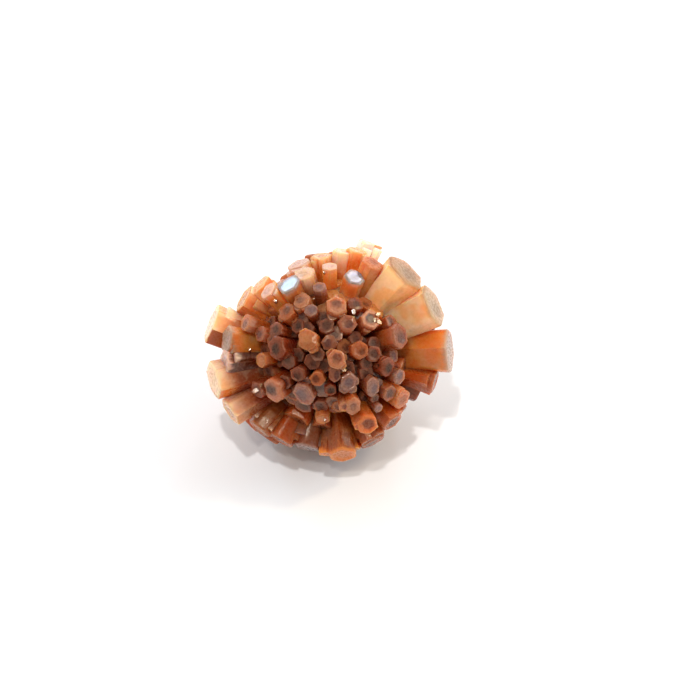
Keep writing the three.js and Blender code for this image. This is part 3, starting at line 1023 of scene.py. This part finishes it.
# %% Shader tools
class Nodes:
    """Adds nodes to a material's tree, and links their inputs to values or to other nodes' outputs."""

    def __init__(self, material):
        self.tree = material.node_tree

    def add(self, kind, inputs=None, **settings):
        made = self.tree.nodes.new("ShaderNode" + kind)
        for key, value in settings.items():
            setattr(made, key, value)
        for key, value in (inputs or {}).items():
            if isinstance(value, bpy.types.NodeSocket):
                self.tree.links.new(value, made.inputs[key])
            else:
                made.inputs[key].default_value = value
        return made

    def attribute(self, name):
        return self.add("Attribute", attribute_name=name).outputs["Vector"]

    def maths(self, operation, a, b=0.0, clamp=False):
        return self.add("Math", {0: a, 1: b}, operation=operation, use_clamp=clamp).outputs[0]

    def step(self, value, low, high, to=(0.0, 1.0)):
        """A smooth step from to[0] at low to to[1] at high."""
        inputs = {"Value": value, "From Min": low, "From Max": high, "To Min": to[0], "To Max": to[1]}
        return self.add("MapRange", inputs, interpolation_type="SMOOTHSTEP").outputs["Result"]

    def mix(self, share, a, b, blend="MIX"):
        inputs = {0: share, 6: a, 7: b}
        return self.add("Mix", inputs, data_type="RGBA", blend_type=blend).outputs[2]

    def tint(self, share, colour, by):
        """A colour multiplied by another one, as far as the share goes."""
        return self.mix(share, colour, self.mix(1.0, colour, by, "MULTIPLY"))

    def parts(self, vector):
        return self.add("SeparateXYZ", {0: vector}).outputs

    def stretched(self, vector, by):
        return self.add("VectorMath", {0: vector, 1: by}, operation="MULTIPLY").outputs[0]

    def noise(self, vector, scale, detail=3.0, roughness=0.55):
        inputs = {"Vector": vector, "Scale": scale, "Detail": detail, "Roughness": roughness}
        return self.add("TexNoise", inputs).outputs["Fac"]


# %% [markdown]
# ### Marks and patterns
# The attributes are read and given plain names, and so are the noises. All noises lie in the crystal's own
# space, so they turn with it: drawn out lengthwise they make streaks and fibres, and left round they make
# clouds, specks and blotches. In the functions below n adds nodes, m holds the marks and p the patterns.

# %% Marks and patterns
Marks = namedtuple("Marks", "depth from_axis on_end near_edge rim core body tip glow gloss streaky grainy")
Patterns = namedtuple("Patterns", "streak fibre cloud speck patch blotch")


def read_marks(n):
    """What the attributes say of a point: its place in its crystal, and its crystal's finish."""
    from_axis, on_end, near_edge = n.parts(n.attribute("zone"))
    tip, glow, gloss = n.parts(n.attribute("habit"))
    streaky, grainy, _ = n.parts(n.attribute("pattern"))
    depth = n.parts(n.attribute("grain"))[2]
    rim, core, body = n.attribute("rim"), n.attribute("core"), n.attribute("body")
    return Marks(depth, from_axis, on_end, near_edge, rim, core, body, tip, glow, gloss, streaky, grainy)


def patterns(n):
    """Noises in the crystal's own space: long ones for streaks, round ones for clouds and specks."""
    grain = n.attribute("grain")
    return Patterns(
        streak=n.noise(n.stretched(grain, (1.3, 1.3, 0.10)), 1.0, 4.0, 0.6),
        fibre=n.noise(n.stretched(grain, (6.0, 6.0, 0.4)), 1.0, 2.0, 0.6),
        cloud=n.noise(grain, 0.7, 1.5, 0.5),
        speck=n.noise(grain, 3.2, 3.0, 0.6),
        patch=n.noise(grain, 0.45, 1.0, 0.5),
        blotch=n.noise(grain, 0.38, 2.0, 0.5),
    )


def flecks(n, m, p):
    """Where pale specks show."""
    return n.maths("MULTIPLY", n.step(p.speck, 0.55, 0.72, (0.0, 0.3)), m.grainy, clamp=True)


# %% [markdown]
# ### Sides
# A side is pale at the tip, then takes on the body's colour, and deeper down, past where the light reaches,
# it is painted dark red as the shade of the recesses. The steps between these are ragged along the streaks.
# Veins, clouds, specks and warm blotches lie over that, and a darker line where two sides meet.

# %% Sides
# Painted shade of the recesses: a factor on the body's colour, and the lightest and darkest that this shade
# may be.
RECESS_SHADE = (0.90, 0.42, 0.34, 1)
LIGHTEST_RECESS_SHADE = (0.24, 0.045, 0.020, 1)
DARKEST_RECESS_SHADE = (0.13, 0.020, 0.009, 1)
VEIN = (0.62, 0.38, 0.25, 1)
BLOTCH = (1.0, 0.70, 0.42, 1)
SIDE_EDGE = (0.66, 0.44, 0.32, 1)


def painted_recess_shade(n, body):
    """The body's colour darkened as painted shade where little light comes, within limits."""
    shaded_body = n.mix(1.0, body, RECESS_SHADE, "MULTIPLY")
    shaded_body = n.mix(1.0, shaded_body, LIGHTEST_RECESS_SHADE, "DARKEN")
    return n.mix(1.0, shaded_body, DARKEST_RECESS_SHADE, "LIGHTEN")


def side_colour(n, m, p):
    ragged = n.maths("MULTIPLY", n.step(p.streak, 0.3, 0.7, (-0.25, 0.4)), m.streaky)
    ragged = n.maths("ADD", m.depth, ragged)
    body_from = n.maths("MULTIPLY", m.tip, 0.2)
    body_to = n.maths("ADD", n.maths("MULTIPLY", m.tip, 1.4), 0.5)
    side = n.mix(n.step(ragged, body_from, body_to), m.rim, m.body)
    shade_from = n.maths("MULTIPLY", m.glow, 0.5)
    shade_to = n.maths("MULTIPLY", m.glow, 2.2)
    # Painted shade: deeper than the light reaches, the side turns to the dark recess colour.
    side = n.mix(n.step(ragged, shade_from, shade_to), side, painted_recess_shade(n, m.body))
    side = n.tint(n.maths("MULTIPLY", m.streaky, n.step(p.streak, 0.42, 0.75, (0.0, 0.28))), side, VEIN)
    side = n.mix(n.step(p.cloud, 0.5, 0.75, (0.0, 0.3)), side, m.rim)
    side = n.mix(flecks(n, m, p), side, m.rim)
    side = n.tint(n.step(p.blotch, 0.46, 0.62, (0.0, 0.8)), side, BLOTCH)
    at_edge = n.maths("MULTIPLY", m.streaky, n.step(m.near_edge, 0.75, 1.0, (0.0, 0.35)))
    return n.tint(at_edge, side, SIDE_EDGE)


# %% [markdown]
# ### Ends
# An end shows how the crystal grew: a core, a rim round it, faint rings in between and seams that run to
# the corners, where three twins meet. The noises keep core and rings from being drawn too neatly.

# %% Ends
RING = (0.70, 0.56, 0.50, 1)
SEAM = (0.66, 0.46, 0.38, 1)
OUTLINE = (0.66, 0.48, 0.38, 1)
RINGS = 20.0  # more of this gives more rings


def end_colour(n, m, p):
    wavering = n.maths("ADD", m.from_axis, n.step(p.patch, 0.3, 0.7, (-0.08, 0.08)))
    clouded = n.maths("ADD", wavering, n.step(p.cloud, 0.3, 0.7, (-0.10, 0.10)))
    end = n.mix(n.step(clouded, 0.30, 0.66), m.core, m.rim)
    ring = n.step(n.maths("SINE", n.maths("MULTIPLY", wavering, RINGS)), -0.4, 1.0, (0.0, 0.2))
    end = n.tint(n.maths("MULTIPLY", ring, m.streaky), end, RING)
    seam = n.maths("MULTIPLY", n.step(m.near_edge, 0.72, 1.0, (0.0, 0.3)), n.step(m.from_axis, 0.3, 0.8))
    end = n.tint(n.maths("MULTIPLY", seam, m.streaky), end, SEAM)
    end = n.mix(flecks(n, m, p), end, m.rim)
    outer = n.step(m.from_axis, 0.90, 1.0, (0.0, 0.6))
    outer = n.maths("MULTIPLY", outer, n.maths("SUBTRACT", 1.35, m.streaky, clamp=True))
    return n.tint(outer, end, OUTLINE)


# %% [markdown]
# ### Surface
# Glossy crystals have a clear coat, in patches, as if worn. The others are nearly dull. The fibres give a
# fine relief on the sides, and the specks give one everywhere. It is far too small to model, so a Bump node
# does it.

# %% Surface
RELIEF = 0.05 * MM


def surface(n, m, p, shader):
    """Links the roughness, the coat and the relief."""
    gloss = n.maths("MULTIPLY", m.gloss, n.step(p.patch, 0.35, 0.55, (0.5, 1.0)))
    dull = n.step(p.speck, 0.3, 0.7, (0.22, 0.38))
    roughness = n.maths("SUBTRACT", dull, n.maths("MULTIPLY", gloss, 0.12))
    on_side = n.maths("SUBTRACT", 1.0, m.on_end)
    fibres = n.maths("MULTIPLY", n.maths("MULTIPLY", p.fibre, m.streaky), on_side)
    relief = n.maths("ADD", fibres, n.maths("MULTIPLY", p.speck, m.grainy))
    bump = n.add("Bump", {"Height": relief, "Distance": RELIEF, "Strength": 0.5})
    n.tree.links.new(roughness, shader.inputs["Roughness"])
    n.tree.links.new(gloss, shader.inputs["Coat Weight"])
    n.tree.links.new(bump.outputs[0], shader.inputs["Normal"])
    n.tree.links.new(bump.outputs[0], shader.inputs["Coat Normal"])


# %% Aragonite
def aragonite(name):
    """The finish of the crystals, which reads their attributes."""
    material = bpy.data.materials.new(name)
    material.use_nodes = True
    shader = material.node_tree.nodes["Principled BSDF"]
    n = Nodes(material)
    m, p = read_marks(n), patterns(n)
    colour = n.mix(m.on_end, side_colour(n, m, p), end_colour(n, m, p))
    n.tree.links.new(colour, shader.inputs["Base Color"])
    surface(n, m, p, shader)
    shader.inputs["Coat Roughness"].default_value = 0.12
    shader.inputs["Coat IOR"].default_value = 1.6
    shader.inputs["IOR"].default_value = 1.6
    shader.inputs["Specular IOR Level"].default_value = 0.3
    shader.inputs["Specular Tint"].default_value = (1.0, 0.84, 0.60, 1)
    shader.inputs["Subsurface Weight"].default_value = 0.9
    shader.inputs["Subsurface Radius"].default_value = (1.0, 0.45, 0.18)
    shader.inputs["Subsurface Scale"].default_value = 3.2 * MM
    return material


cluster.data.materials.clear()
cluster.data.materials.append(aragonite("aragonite"))
print("nodes of the finish:", len(cluster.data.materials[0].node_tree.nodes))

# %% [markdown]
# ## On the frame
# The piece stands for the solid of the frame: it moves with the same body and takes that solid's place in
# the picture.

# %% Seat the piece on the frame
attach(cluster, "root")
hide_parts("aragonite_cluster")
